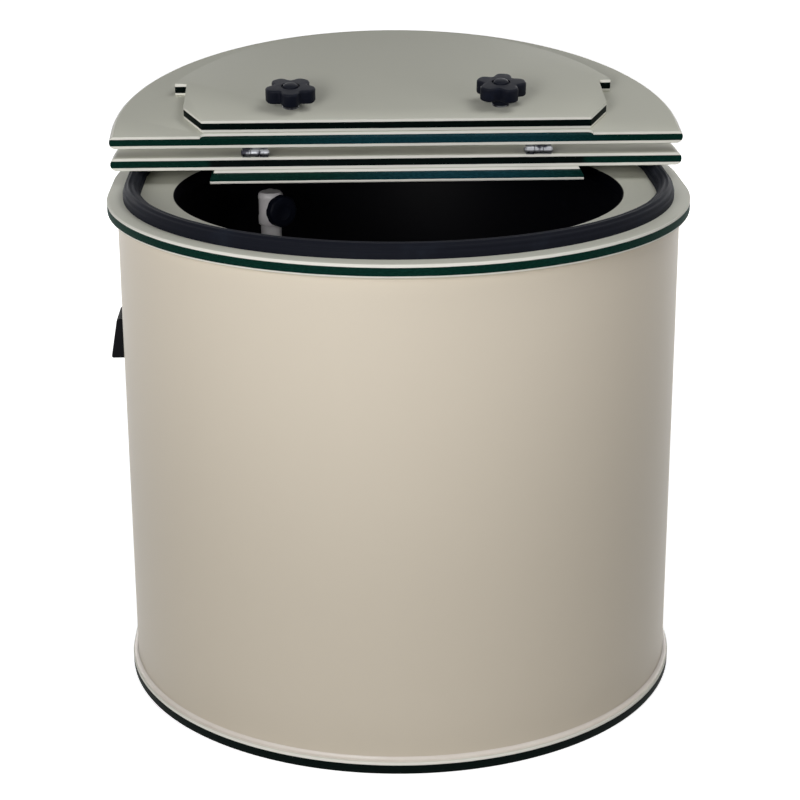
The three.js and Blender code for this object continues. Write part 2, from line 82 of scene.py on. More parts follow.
# Hinges
HINGE_REACH = 138.5
LEAF_HALF = 12.7
LEAF_THICKNESS = 1.8
BARREL_RADIUS = 4
KNUCKLE = 2 * LEAF_HALF / 3
KNUCKLE_GAP = 0.4
PIN_RADIUS = 2
PIN_BORE = 2.3
SCREW_REACH = 15.5
SCREW_SHIFT = 7
SCREW_LENGTH = 10
SCREW_DEPTH = SCREW_LENGTH + SEAT
PILOT_HOLE = 2.1

# Pipes and fittings
PIPE_RADIUS = 10.65
PIPE_BORE = 7.85
PIPE_HOLE = 10.9
SOCKET_BORE = 10.95
SOCKET_START = 12
PIPE_STOP = SOCKET_START + SEAT
OVERFLOW_RADIUS = 15
OVERFLOW_BORE = 12.2
OVERFLOW_HOLE = 15.3
OVERFLOW_STANDOUT = 3
NUT_HEIGHT = 10
NUT_FACE = 218.66
DRAIN_CUP_FACE = 218
BARB_LENGTH = 32
BARB_RADIUS = 8.8
BARB_START = SHELL_RADIUS + SEAT
PIPE_END = BARB_START + 5
VALVE_HALF = 17
VALVE_SOCKET = 8
# The valve's knob stands on a stem, so far out from the riser.
KNOB_BACK = 15
BONNET_END = KNOB_BACK - 0.4
STEM_RADIUS = 3
STEM_BORE = 3.3
STEM_START = BONNET_END - 5
STEM_END = 20
SPOUT_RADIUS = 8.5
SPOUT_BORE = 5.7
SPOUT_SOCKET = 8.8
SPOUT_START = 15
SPOUT_LENGTH = 36
HOOD_HALF = 20
HOOD_WIDTH = 46
HOOD_WALL = 2.2
HOOD_FOOT = SHELL_RADIUS + 15
HOOD_TOP = SHELL_RADIUS + 8

# Places of the plumbing
RISER_ANGLE = math.radians(149.5)
RISER_REACH = 148
RISER = Vector((RISER_REACH * math.cos(RISER_ANGLE), HALF_RUN + RISER_REACH * math.sin(RISER_ANGLE), 0))
DRAIN_ANGLE = math.radians(48)
FITTING_HEIGHT = 78
VALVE_HEIGHT = 436
OVERFLOW_HEIGHT = 336

# Steps in a full turn
ROUND = 240
TURN = 48
SMALL = 24

# How far a cutter runs past what it cuts
OVERRUN = 2

UP = Vector((0, 0, 1))
STILL = Matrix.Identity(4)


def moved(x, y, z):
    return Matrix.Translation((x, y, z))


def spun(angle, axis):
    return Matrix.Rotation(angle, 4, axis)


# The front lid is drawn shut and folded back about the hinge line.
FOLD = moved(0, 0, AXIS_HEIGHT) @ spun(math.radians(LEAN - 180), "X") @ moved(0, 0, -AXIS_HEIGHT)
LID_NORMAL = FOLD.to_3x3() @ UP
# What is drawn along Z is laid along X for the fittings that pass through the wall.
LAID = spun(math.pi / 2, "Y")
ON_LEFT = moved(0, 0, OVERFLOW_HEIGHT) @ spun(math.pi, "Z")
AT_INLET = moved(0, HALF_RUN, FITTING_HEIGHT) @ spun(RISER_ANGLE, "Z")
AT_DRAIN = moved(0, HALF_RUN, FITTING_HEIGHT) @ spun(DRAIN_ANGLE, "Z")
ON_AXIS = moved(0, 0, AXIS_HEIGHT) @ LAID
AT_RISER = Matrix.Translation(RISER)
AT_VALVE = AT_RISER @ moved(0, 0, VALVE_HEIGHT)
VALVE_TURN = spun(math.radians(-56), "Z")
SPOUT_TURN = spun(math.radians(92), "Z")


# Finishes

def tone(red, green, blue):
    """A colour as it is seen on screen, 0 to 255, as the linear values that a shader takes."""
    def linear(value):
        share = value / 255
        return share / 12.92 if share <= 0.04045 else ((share + 0.055) / 1.055) ** 2.4
    return (linear(red), linear(green), linear(blue), 1)


class Field:
    """A shader value that Python sums can be written with."""

    def __init__(self, finish, socket):
        self.finish = finish
        self.socket = socket

    def math(self, operation, *others):
        values = dict(enumerate((self, *others)))
        return self.finish.field("ShaderNodeMath", {"operation": operation}, values)

    def __add__(self, other):
        return self.math("ADD", other)

    def __sub__(self, other):
        return self.math("SUBTRACT", other)

    def __rsub__(self, other):
        return self.finish.field("ShaderNodeMath", {"operation": "SUBTRACT"}, {0: other, 1: self})

    def __mul__(self, other):
        return self.math("MULTIPLY", other)

    __radd__ = __add__
    __rmul__ = __mul__

    def between(self, low, high):
        """0 below low, 1 above high, smooth in between."""
        settings = {"interpolation_type": "SMOOTHSTEP"}
        values = {"Value": self, "From Min": low, "From Max": high}
        return self.finish.field("ShaderNodeMapRange", settings, values)


class Finish:
    """One material. node() makes any shader node; place is the piece's own coordinates."""

    def __init__(self, name):
        self.material = bpy.data.materials.new(name)
        self.material.use_nodes = True
        self.tree = self.material.node_tree
        self.shader = self.tree.nodes["Principled BSDF"]
        self.place = self.field("ShaderNodeTexCoord", output="Object")

    def node(self, kind, settings=None, values=None):
        made = self.tree.nodes.new(kind)
        for key, value in (settings or {}).items():
            setattr(made, key, value)
        for key, value in (values or {}).items():
            self.feed(made.inputs[key], value)
        return made

    def feed(self, socket, value):
        if isinstance(value, Field):
            self.tree.links.new(value.socket, socket)
        else:
            socket.default_value = value

    def field(self, kind, settings=None, values=None, output=0):
        return Field(self, self.node(kind, settings, values).outputs[output])

    def stretched(self, scale):
        values = {0: self.place, 1: scale}
        return self.field("ShaderNodeVectorMath", {"operation": "MULTIPLY"}, values)

    def noise(self, scale, detail=2.0, stretch=(1, 1, 1)):
        """Noise of that many waves to the metre, drawn out along an axis where stretch is small."""
        where = self.stretched([scale * share for share in stretch])
        values = {"Vector": where, "Scale": 1.0, "Detail": detail}
        return self.field("ShaderNodeTexNoise", None, values, "Fac")

    def height(self, origin, normal):
        """Distance above a plane, in metres."""
        values = {0: self.place, 1: normal}
        along = self.field("ShaderNodeVectorMath", {"operation": "DOT_PRODUCT"}, values, "Value")
        return along - Vector(origin).dot(Vector(normal))

    def split(self):
        node = self.node("ShaderNodeSeparateXYZ", None, {0: self.place})
        return [Field(self, socket) for socket in node.outputs]

    def blend(self, share, first, second):
        settings = {"data_type": "RGBA"}
        values = {"Factor": share, 6: first, 7: second}
        return self.field("ShaderNodeMix", settings, values, 2)

    def surface(self, colour, roughness, relief=None, depth=0.0, **fixed):
        """Feeds the shader. relief is a field that depth, in metres, makes into bumps."""
        self.feed(self.shader.inputs["Base Color"], colour)
        self.feed(self.shader.inputs["Roughness"], roughness)
        if relief:
            values = {"Strength": 1.0, "Distance": depth, "Height": relief}
            normal = self.field("ShaderNodeBump", None, values, "Normal")
            self.feed(self.shader.inputs["Normal"], normal)
        for key, value in fixed.items():
            self.shader.inputs[key.replace("_", " ")].default_value = value
        return self.material


SHEET_TONE = tone(223, 223, 210)
SHEET_SHADE = tone(217, 217, 204)
# Paler cream for the painted highlight on the sheets' rims
RIM_HIGHLIGHT_TONE = tone(246, 244, 235)
# The wall's two tones: the ends of a painted light gradient, and of a slow random drift
WALL_PALE_LIT_TONE = tone(236, 225, 207)
WALL_DARK_SHADED_TONE = tone(213, 203, 186)
CORE_GREEN = (tone(0, 34, 27), tone(8, 48, 40))
# Teal that paints a reflection in the middle of the core's edge
CORE_TEAL_REFLECTION = (tone(12, 50, 58), tone(24, 66, 76))
# The green core darkened to near black: painted shade
CORE_SHADE_BLACK = (tone(0, 5, 4), tone(1, 14, 11))
# Near black for the painted shade on the edge of the ring's opening
OPENING_SHADE_BLACK = tone(4, 4, 8)
# Brown painted shade for the gap between the folded lids
GAP_SHADE_BROWN = tone(62, 46, 24)
DUST = tone(186, 176, 158)


def layered_sheet(name, origin, normal, tones=CORE_GREEN, foot=SKIN, middle=None, hole=None, gap_shade=0.0):
    """Sheet with a dark core between cream skins, and a painted highlight that makes the skin paler on its
    rounded and sawn rims.
    origin is on its lower face, in metres. foot is where the core starts, in millimetres.
    middle is (centre, reach, fade, tones): within that reach of the centre, in metres, the
    core has those other tones, which paint a reflection where they are teal and shade where they are near
    black.
    hole is the radius of an opening whose edge is painted shade, near black, in millimetres.
    gap_shade is how much painted shade, in brown, lies on the outer face along the hinge line, where the gap
    between the folded lids is in shade."""
    finish = Finish(name)
    level = finish.height(origin, normal) + (finish.noise(60, 1) - 0.5) * 0.0002
    low, high = foot * MM, (SHEET - SKIN) * MM
    blur = 0.0001
    core = level.between(low - blur, low + blur) * (1 - level.between(high - blur, high + blur))
    drift = finish.noise(3, 1)
    near, deep, top = 0.0003, 0.0006, SHEET * MM
    # Painted highlight: the skin is paler on the rims, wherever it is neither the flat top nor the flat
    # bottom.
    cut = level.between(near, deep) * (1 - level.between(top - deep, top - near))
    skin = finish.blend(cut, finish.blend(drift, SHEET_SHADE, SHEET_TONE), RIM_HIGHLIGHT_TONE)
    cutter = finish.noise(900, 2, (0.35, 0.35, 1.6))
    streak = cutter.between(0.35, 0.75)
    green = finish.blend(streak, *tones)
    across, along, _ = finish.split()
    # Painted shade: a brown band on the outer face along the hinge line, where the gap between the lids lies
    # in shade.
    if gap_shade:
        strip = along.between(0.002, 0.014) * (1 - along.between(0.02, 0.045))
        patchy = finish.noise(12, 2).between(0.2, 0.8) * 0.5 + 0.5
        outer = level.between(top - 0.0015, top - 0.0005)
        skin = finish.blend(strip * patchy * outer * gap_shade, skin, GAP_SHADE_BROWN)
    if middle:
        centre, reach, fade, others = middle
        outside = (across - centre).math("ABSOLUTE").between(reach - fade, reach + fade)
        green = finish.blend(outside, finish.blend(streak, *others), green)
    colour = finish.blend(core, skin, green)
    # Painted shade: the edge of the opening is near black.
    if hole:
        back = along + HALF_RUN * MM
        beyond = (across * across + back * back).between((hole * MM) ** 2, ((hole + 0.5) * MM) ** 2)
        colour = finish.blend(beyond, OPENING_SHADE_BLACK, colour)
    grain = finish.noise(1500, 2)
    relief = grain * (1 - core) + cutter * core * 1.5
    rough = 0.5 + drift * 0.06 + core * 0.06
    return finish.surface(colour, rough, relief, 0.00004, Specular_IOR_Level=0.04)


def smooth_wall(name):
    """The bent wall of the tank: satin, made a little paler towards the top by painted light, with faint
    upright flow lines and dust at the foot."""
    finish = Finish(name)
    drift = finish.noise(3, 1)
    height = finish.split()[2]
    # Painted light: three quarters of the blend makes the wall paler towards the top; the rest is a slow
    # random drift of tone.
    skin = finish.blend(height.between(0.14, 0.48) * 0.75 + drift * 0.25, WALL_DARK_SHADED_TONE, WALL_PALE_LIT_TONE)
    foot = (1 - height.between(0.012, 0.07)) * finish.noise(14, 2)
    flow = finish.noise(60, 1, (1, 1, 0.02))
    grain = finish.noise(1300, 2)
    colour = finish.blend(foot * 0.2, skin, DUST)
    rough = 0.36 + drift * 0.05 + foot * 0.1
    return finish.surface(colour, rough, grain + flow * 1.5, 0.00002, Specular_IOR_Level=0.25)


def weld(name):
    finish = Finish(name)
    drift = finish.noise(40, 2)
    lump = finish.noise(260, 2)
    colour = finish.blend(drift, tone(222, 212, 202), tone(236, 230, 222))
    return finish.surface(colour, 0.3 + lump * 0.15, lump, 0.0003)


def liner(name):
    finish = Finish(name)
    drift = finish.noise(9, 3)
    grain = finish.noise(1100, 2)
    scale = finish.noise(55, 4).between(0.62, 0.8)
    colour = finish.blend(drift, tone(4, 4, 8), tone(9, 9, 15))
    shaded = finish.blend(scale * 0.15, colour, tone(30, 32, 38))
    return finish.surface(shaded, 0.5 + scale * 0.2, grain, 0.00004, Specular_IOR_Level=0.15)


def rubber(name):
    finish = Finish(name)
    dust = finish.noise(35, 3).between(0.5, 0.9)
    pore = finish.noise(900, 3)
    colour = finish.blend(dust, tone(18, 20, 28), tone(30, 34, 43))
    return finish.surface(colour, 0.6 + dust * 0.15, pore, 0.0001, Specular_IOR_Level=0.06)


def moulded(name, dark, light, gloss):
    """Moulded plastic: an even colour with a fine stipple, rubbed pale in places."""
    finish = Finish(name)
    rub = finish.noise(50, 3).between(0.55, 0.8)
    stipple = finish.noise(1900, 2)
    colour = finish.blend(rub, dark, light)
    return finish.surface(colour, gloss + rub * 0.12, stipple, 0.00005, Specular_IOR_Level=0.1)


def steel(name):
    finish = Finish(name)
    brushed = finish.noise(700, 3, (0.06, 1, 1))
    stain = finish.noise(120, 2).between(0.4, 0.6)
    colour = finish.blend(stain, tone(150, 152, 156), tone(52, 52, 60))
    return finish.surface(colour, 0.32 + brushed * 0.16 + stain * 0.14, brushed, 0.00003, Metallic=1.0)


def pipe_plastic(name):
    """White pipe with faint purple stains of primer."""
    finish = Finish(name)
    stain = finish.noise(45, 3).between(0.5, 0.8)
    grain = finish.noise(800, 2, (1, 1, 0.2))
    colour = finish.blend(stain * 0.4, tone(244, 240, 240), tone(216, 200, 208))
    return finish.surface(colour, 0.32 + stain * 0.1, grain, 0.00004)


def insulation(name):
    finish = Finish(name)
    values = {"Vector": finish.stretched((260, 260, 260)), "Scale": 1.0}
    cell = finish.field("ShaderNodeTexVoronoi", None, values, "Distance")
    drift = finish.noise(30, 3)
    colour = finish.blend(drift, tone(222, 196, 132), tone(234, 214, 160))
    return finish.surface(colour, 0.85 + drift * 0.1, cell, 0.001)


FLAT = (0, 0, 1)
LID_FLOOR = FOLD @ Vector((0, 0, LID_BOTTOM)) * MM
BAFFLE_FLOOR = FOLD @ Vector((0, 0, LID_BOTTOM - SEAT - SHEET)) * MM
# The base's edge is painted dark down to the ground as shade: its lower skin is drawn thin and its core is
# the painted-shade black.
BASE_SHEET = layered_sheet("base_sheet", (0, 0, 0), FLAT, CORE_SHADE_BLACK, 0.3)
# The ring's opening has its edge painted near black as shade.
RING_SHEET = layered_sheet("ring_sheet", (0, 0, (RIM - SHEET) * MM), FLAT, foot=2.2, hole=OPENING + 0.6)
# The rear lid's core is painted shade, near black, in the middle, above the ledge.
REAR_SHEET = layered_sheet(
    "rear_lid_sheet", (0, 0, LID_BOTTOM * MM), FLAT, middle=(0, 0.184, 0.004, CORE_SHADE_BLACK), gap_shade=0.5,
)
# The ledge and the front lid have a painted reflection: their core is teal towards the middle of the edge.
LEDGE_SHEET = layered_sheet(
    "ledge_sheet", (0, 0, (LID_BOTTOM - SHEET) * MM), FLAT, middle=(0.06, 0.085, 0.06, CORE_TEAL_REFLECTION),
)
FRONT_SHEET = layered_sheet(
    "front_lid_sheet", LID_FLOOR, LID_NORMAL, middle=(0.04, 0.13, 0.07, CORE_TEAL_REFLECTION),
)
# The baffle's core is painted shade, near black, all along.
BAFFLE_SHEET = layered_sheet("baffle_sheet", BAFFLE_FLOOR, LID_NORMAL, CORE_SHADE_BLACK)
WALL_FINISH = smooth_wall("tank_wall")
WELD_FINISH = weld("weld_bead")
LINER_FINISH = liner("dark_liner")
RUBBER_FINISH = rubber("seal_rubber")
KNOB_FINISH = moulded("knob_plastic", tone(12, 15, 26), tone(20, 24, 38), 0.5)
FITTING_FINISH = moulded("fitting_plastic", tone(10, 10, 14), tone(26, 26, 30), 0.72)
STEEL_FINISH = steel("hinge_steel")
PIPE_FINISH = pipe_plastic("pipe_plastic")
FOAM_FINISH = insulation("foam")


# Shapes

def verts_of(made):
    return [part for part in made["geom"] if isinstance(part, bmesh.types.BMVert)]


def part_ends(bm):
    """Draws the two halves of a round shape apart, which gives the plan its straight sides."""
    for side in (-1, 1):
        half = [vert for vert in bm.verts if vert.co.y * side > 0]
        bmesh.ops.translate(bm, verts=half, vec=(0, side * HALF_RUN, 0))


def thicken(bm, depth):
    """Pulls flat faces straight up into a solid."""
    made = bmesh.ops.extrude_face_region(bm, geom=bm.faces[:])
    bmesh.ops.translate(bm, verts=verts_of(made), vec=(0, 0, depth))
    bmesh.ops.recalc_face_normals(bm, faces=bm.faces)


def circle(radius, steps=ROUND, filled=True):
    """A circle whose first vertex stands half a step off the X axis."""
    bm = bmesh.new()
    turn = spun(math.pi / steps, "Z")
    bmesh.ops.create_circle(bm, cap_ends=filled, segments=steps, radius=radius, matrix=turn)
    return bm


def outline(points):
    """A flat face through the points."""
    bm = bmesh.new()
    bmesh.ops.contextual_create(bm, geom=[bm.verts.new((x, y, 0)) for x, y in points])
    return bm


def soften(bm, radius, segments=3, test=None, corner=40):
    """Rounds the sharp edges, or those whose ends both pass the test."""
    bm.normal_update()
    picked = []
    for edge in bm.edges:
        if len(edge.link_faces) != 2 or edge.calc_face_angle() < math.radians(corner):
            continue
        if test is None or all(test(vert.co) for vert in edge.verts):
            picked.append(edge)
    bmesh.ops.bevel(
        bm, geom=picked, offset=radius, offset_type="OFFSET", segments=segments,
        profile=0.5, affect="EDGES", clamp_overlap=True, material=-1,
    )
    return bm


def slab(bm, bottom, thickness):
    thicken(bm, thickness)
    bmesh.ops.translate(bm, verts=bm.verts, vec=(0, 0, bottom))
    return bm


def at_level(level):
    return lambda co: abs(co.z - level) < 0.01


def turned(profile, steps=TURN, closed=False, offset=False):
    """Spins a profile of (radius, height) pairs about Z."""
    bm = bmesh.new()
    line = [bm.verts.new((radius, 0, height)) for radius, height in profile]
    pairs = list(zip(line, line[1:])) + ([(line[-1], line[0])] if closed else [])
    edges = [bm.edges.new(pair) for pair in pairs]
    if offset:
        bmesh.ops.rotate(bm, verts=bm.verts, cent=(0, 0, 0), matrix=spun(math.pi / steps, "Z"))
    bmesh.ops.spin(
        bm, geom=line + edges, cent=(0, 0, 0), axis=(0, 0, 1), dvec=(0, 0, 0),
        angle=2 * math.pi, steps=steps, use_merge=True, use_duplicate=False,
    )
    bmesh.ops.remove_doubles(bm, verts=bm.verts, dist=0.001)
    bmesh.ops.recalc_face_normals(bm, faces=bm.faces)
    return bm


def tube(radius, bore, bottom, top, ease=0.5, steps=TURN):
    profile = [
        (bore, bottom + ease), (bore + ease, bottom), (radius - ease, bottom), (radius, bottom + ease),
        (radius, top - ease), (radius - ease, top), (bore + ease, top), (bore, top - ease),
    ]
    return turned(profile, steps, closed=True)


def rod(radius, bottom, top, ease=0.4, steps=TURN):
    profile = [
        (0, bottom), (radius - ease, bottom), (radius, bottom + ease),
        (radius, top - ease), (radius - ease, top), (0, top),
    ]
    return turned(profile, steps)


def block(low, high):
    bm = bmesh.new()
    size = Vector(high) - Vector(low)
    middle = (Vector(high) + Vector(low)) / 2
    bmesh.ops.create_cube(bm, size=1, matrix=Matrix.Translation(middle) @ Matrix.Diagonal((*size, 1)))
    return bm


def as_object(bm, name="blank"):
    mesh = bpy.data.meshes.new(name)
    bm.to_mesh(mesh)
    bm.free()
    made = bpy.data.objects.new(name, mesh)
    bpy.context.scene.collection.objects.link(made)
    return made


def combine(bm, others, operation):
    """Joins, cuts or keeps with other solids, and gives back a new bmesh."""
    body = as_object(bm)
    tools = [as_object(other) for other in others]
    for tool in tools:
        step = body.modifiers.new("step", "BOOLEAN")
        step.operation = operation
        step.solver = "EXACT"
        step.object = tool
    solved = body.evaluated_get(bpy.context.evaluated_depsgraph_get())
    result = bmesh.new()
    result.from_mesh(solved.to_mesh())
    solved.to_mesh_clear()
    for made in (body, *tools):
        mesh = made.data
        bpy.data.objects.remove(made)
        bpy.data.meshes.remove(mesh)
    bmesh.ops.remove_doubles(result, verts=result.verts, dist=0.0005)
    return result


def carve(bm, *cutters):
    return combine(bm, cutters, "DIFFERENCE")


def fuse(bm, *others):
    return combine(bm, others, "UNION")


def placed(bm, matrix):
    bmesh.ops.transform(bm, matrix=matrix, verts=bm.verts)
    return bm


def finished(name, bm, material, body, nodes=(), place=STILL, corner=32):
    """Turns a drawing in millimetres into a piece that rides on its body."""
    placed(bm, Matrix.Scale(MM, 4) @ place)
    made = as_object(bm, name)
    made.data.shade_smooth()
    made.data.set_sharp_from_angle(angle=math.radians(corner))
    made.data.materials.append(material)
    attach(made, body)
    if nodes:
        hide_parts(*nodes)
    return made


# Tank

def sawn(bm, point, normal):
    """Saws through at a plane, drops what lies before it and closes the cut."""
    bmesh.ops.bisect_plane(
        bm, geom=bm.verts[:] + bm.edges[:] + bm.faces[:], dist=0.0001,
        plane_co=point, plane_no=normal, clear_outer=True,
    )
    bmesh.ops.holes_fill(bm, edges=[edge for edge in bm.edges if edge.is_boundary], sides=0)
    bmesh.ops.recalc_face_normals(bm, faces=bm.faces)
    return bm


def round_plate(radius, bottom, thickness, top_round, foot_round, segments=4):
    bm = circle(radius)
    part_ends(bm)
    slab(bm, bottom, thickness)
    soften(bm, foot_round, segments, at_level(bottom))
    soften(bm, top_round, segments, at_level(bottom + thickness))
    return bm


finished(
    "base_plate_piece", round_plate(BASE_RADIUS, 0, SHEET, 1.4, 2.6),
    BASE_SHEET, "tank", ["base_plate"],
)


def bead():
    """A hand-laid fillet: a hollow curve from the wall down to the plate, with slow ripples."""
    spread, rise, toe, sag, steps = 3.7, 3.6, 0.6, 0.2, 5
    foot = SHELL_RADIUS + SEAT
    profile = [(foot, SHEET), (foot + spread, SHEET), (foot + spread, SHEET + toe)]
    for i in range(1, steps):
        turn = math.pi / 2 * i / steps
        reach = foot + spread * (1 - math.sin(turn))
        profile.append((reach, SHEET + toe + (rise - toe) * (1 - math.cos(turn))))
    profile.append((foot, SHEET + rise))
    bm = turned(profile, 480, closed=True, offset=True)
    for vert in bm.verts:
        angle = math.atan2(vert.co.y, vert.co.x)
        if vert.co.z > SHEET + 0.5 and vert.co.xy.length > foot + 0.5:
            fine = 0.12 * math.sin(angle * 230) * math.sin(angle * 37 + 1)
            ripple = fine + 0.08 * math.sin(angle * 71)
            vert.co.z += ripple - sag
    part_ends(bm)
    return bm


finished("base_weld_piece", bead(), WELD_FINISH, "tank", ["base_weld_bead"], corner=60)


def wall_band(outer, inner, bottom, top):
    profile = [(inner, bottom), (outer, bottom), (outer, top), (inner, top)]
    bm = turned(profile, ROUND, closed=True, offset=True)
    part_ends(bm)
    return bm


def wall_hole(radius, reach, place):
    return placed(rod(radius, reach - 60, reach + 60, 0), place @ LAID)


def with_holes(bm, reach):
    holes = [
        wall_hole(PIPE_HOLE, reach, AT_INLET),
        wall_hole(PIPE_HOLE, reach, AT_DRAIN),
        wall_hole(OVERFLOW_HOLE, reach, ON_LEFT),
    ]
    return carve(bm, *holes)


shell = with_holes(wall_band(SHELL_RADIUS, SHELL_RADIUS - WALL, SHEET, RIM - SHEET), SHELL_RADIUS)
finished("outer_shell_piece", shell, WALL_FINISH, "tank", ["outer_shell"])
lining = with_holes(wall_band(LINER + WALL, LINER, FLOOR_TOP, RIM - SHEET), LINER)
finished("tank_liner_piece", lining, LINER_FINISH, "tank", ["tank_liner"])
finished(
    "tank_floor_piece", round_plate(LINER + WALL, FLOOR_TOP - SHEET, SHEET, 0.3, 0.3, 1),
    LINER_FINISH, "tank", ["tank_floor"],
)


def top_ring():
    """Round outside with straight sides, a true circle inside, set forward."""
    bm = circle(PLATE_RADIUS, ROUND, False)
    part_ends(bm)
    outer = bm.edges[:]
    turn = moved(0, -HALF_RUN, 0) @ spun(math.pi / ROUND, "Z")
    bmesh.ops.create_circle(bm, cap_ends=False, segments=ROUND, radius=OPENING, matrix=turn)
    bmesh.ops.bridge_loops(bm, edges=outer + [edge for edge in bm.edges if edge not in set(outer)])
    slab(bm, RIM - SHEET, SHEET)
    soften(bm, 2.2, 4, lambda co: co.xy.length > 240 and at_level(RIM - SHEET)(co))
    soften(bm, 1.4, 3, at_level(RIM))
    return bm


finished("top_ring_piece", top_ring(), RING_SHEET, "tank", ["top_ring"])


def seal():
    """Bulb seal on a flat foot, with fine ribs that run along it."""
    outer, width, foot, crown, steps, ribs = 264.6, 16.5, 4.6, 8.8, 48, 5
    middle = outer - width / 2
    profile = [(outer - width, RIM), (outer, RIM)]
    for i in range(steps + 1):
        turn = math.pi * i / steps
        groove = 0.9 * (1 - math.cos(2 * math.pi * ribs * i / steps)) / 2
        profile.append((
            middle + (width / 2 - groove) * math.cos(turn),
            RIM + foot + (crown - groove) * math.sin(turn),
        ))
    bm = turned(profile, ROUND, closed=True, offset=True)
    part_ends(bm)
    return bm


finished("lid_seal_piece", seal(), RUBBER_FINISH, "tank", ["lid_seal"], corner=50)


# Lid halves

def lid_plate(side):
    bm = round_plate(PLATE_RADIUS, LID_BOTTOM, SHEET, LID_ROUND, LID_ROUND, 7)
    return sawn(bm, (0, side * HALF_SPLIT, 0), (0, -side, 0))


def on_saw_cut(side):
    return lambda co: abs(co.y - side * HALF_SPLIT) < 0.01


def bored(bm, places, radius, bottom, top):
    holes = [placed(rod(radius, bottom, top, 0, SMALL), moved(x, y, 0)) for x, y in places]
    return carve(bm, *holes)


HINGES = (("left", -HINGE_REACH), ("right", HINGE_REACH))
LEAF_SCREWS = ((-SCREW_SHIFT, "a"), (SCREW_SHIFT, "b"))
LEAF_TOP = LID_TOP + LEAF_THICKNESS
rear_places = [(x + shift, SCREW_REACH) for _, x in HINGES for shift, _ in LEAF_SCREWS]
front_places = [(x, -y) for x, y in rear_places]

rear = lid_plate(1)
soften(rear, 1.6, 4, lambda co: on_saw_cut(1)(co) and at_level(LID_BOTTOM)(co))
soften(rear, 0.45, 2, lambda co: on_saw_cut(1)(co) and at_level(LID_TOP)(co))
rear = bored(rear, rear_places, PILOT_HOLE, LEAF_TOP - SCREW_DEPTH, LID_TOP + OVERRUN)
finished("rear_lid_piece", rear, REAR_SHEET, "tank", ["rear_lid"])


def router_strip(half_length, back, front, bottom, top):
    """What a router takes off along an edge: its inside corners are round."""
    ends = [(-half_length, front), (-half_length, back), (half_length, back), (half_length, front)]
    bm = outline(ends)
    corners = [vert for vert in bm.verts if abs(vert.co.y - back) < 0.01]
    bmesh.ops.bevel(
        bm, geom=corners, offset=6, offset_type="OFFSET", segments=5,
        profile=0.5, affect="VERTICES", clamp_overlap=True, material=-1,
    )
    return slab(bm, bottom, top - bottom)


front = lid_plate(-1)
lap_line = -HALF_SPLIT - LAP_WIDTH
front = carve(front, router_strip(LAP_HALF, lap_line, 3, LID_BOTTOM - OVERRUN, LID_BOTTOM + LAP_DEPTH))
soften(front, 2.4, 4, lambda co: on_saw_cut(-1)(co) and at_level(LID_TOP)(co))
soften(front, 0.4, 2, lambda co: co.y > lap_line - 0.01 and co.z < LID_TOP - 3)
knob_places = [(-KNOB_REACH, -KNOB_SETBACK), (KNOB_REACH, -KNOB_SETBACK)]
front = bored(front, knob_places, STUD_HOLE, LID_BOTTOM - OVERRUN, LID_BOTTOM + 8.8)
front = bored(front, front_places, PILOT_HOLE, LEAF_TOP + SEAT - SCREW_DEPTH, LID_TOP + OVERRUN)
finished("front_lid_piece", front, FRONT_SHEET, "front_lid", ["front_lid"], FOLD)

ledge = carve(
    block((-LEDGE_HALF, LEDGE_FRONT, LID_BOTTOM - SHEET), (LEDGE_HALF, LEDGE_BACK, LID_BOTTOM)),
    block((-200, lap_line, LID_BOTTOM - LAP_DEPTH), (200, HALF_SPLIT, LID_BOTTOM + OVERRUN)),
)
# Its ends are sawn on a slant, so that they run in towards the top.
for side in (-1, 1):
    sawn(ledge, (side * LEDGE_HALF, 0, LID_BOTTOM - 8), (side * 8, 0, 5))
soften(ledge, 2.4, 4, lambda co: co.y < LEDGE_FRONT + 0.1 and at_level(LID_BOTTOM - SHEET)(co))
soften(ledge, 0.4, 2)
finished("lid_ledge_piece", ledge, LEDGE_SHEET, "tank", ["lid_ledge"])


def baffle():
    """Straight edge at the hinge side with chamfered corners, small ears, and a round front."""
    face, face_half, shoulder, chamfer = -9.3, 190, 209.5, 38
    radius, ear = 236.1, -110
    start = math.asin((-ear - HALF_RUN) / radius)
    bm = bmesh.new()
    corner = bm.verts.new((-radius * math.cos(start), ear, 0))
    arc = bmesh.ops.spin(
        bm, geom=[corner], cent=(0, -HALF_RUN, 0), axis=(0, 0, 1), dvec=(0, 0, 0),
        angle=math.pi - 2 * start, steps=96, use_merge=False, use_duplicate=False,
    )
    last = [part for part in arc["geom_last"] if isinstance(part, bmesh.types.BMVert)][0]
    side = [(shoulder, ear), (shoulder, face - chamfer), (face_half, face)]
    rest = side + [(-x, y) for x, y in reversed(side)]
    chain = [last] + [bm.verts.new((x, y, 0)) for x, y in rest] + [corner]
    for pair in zip(chain, chain[1:]):
        bm.edges.new(pair)
    bmesh.ops.contextual_create(bm, geom=bm.edges[:])
    slab(bm, LID_BOTTOM - SEAT - SHEET, SHEET)
    soften(bm, 2, 3, lambda co: abs(co.y - ear) < 0.01, 60)
    return bm


plate = baffle()
soften(plate, 0.7, 2, lambda co: True, 55)
plate = bored(plate, knob_places, STUD_HOLE, LID_BOTTOM - 20, LID_BOTTOM + 5)
finished(
    "splash_baffle_piece", plate, BAFFLE_SHEET, "front_lid", ["splash_baffle"], FOLD,
)


# Star knobs

WASHER_TOP = LID_BOTTOM - SEAT - SHEET - SEAT
KNOB_BASE = WASHER_TOP - WASHER_THICKNESS - SEAT


def lobed(radius, lobes, share, steps):
    """A round face whose rim dips in between the lobes, by that share of its radius."""
    bm = circle(radius, lobes * steps)
    for vert in bm.verts:
        dip = (1 - math.cos(lobes * math.atan2(vert.co.y, vert.co.x))) / 2
        vert.co.xy *= 1 - share * dip * dip
    return bm


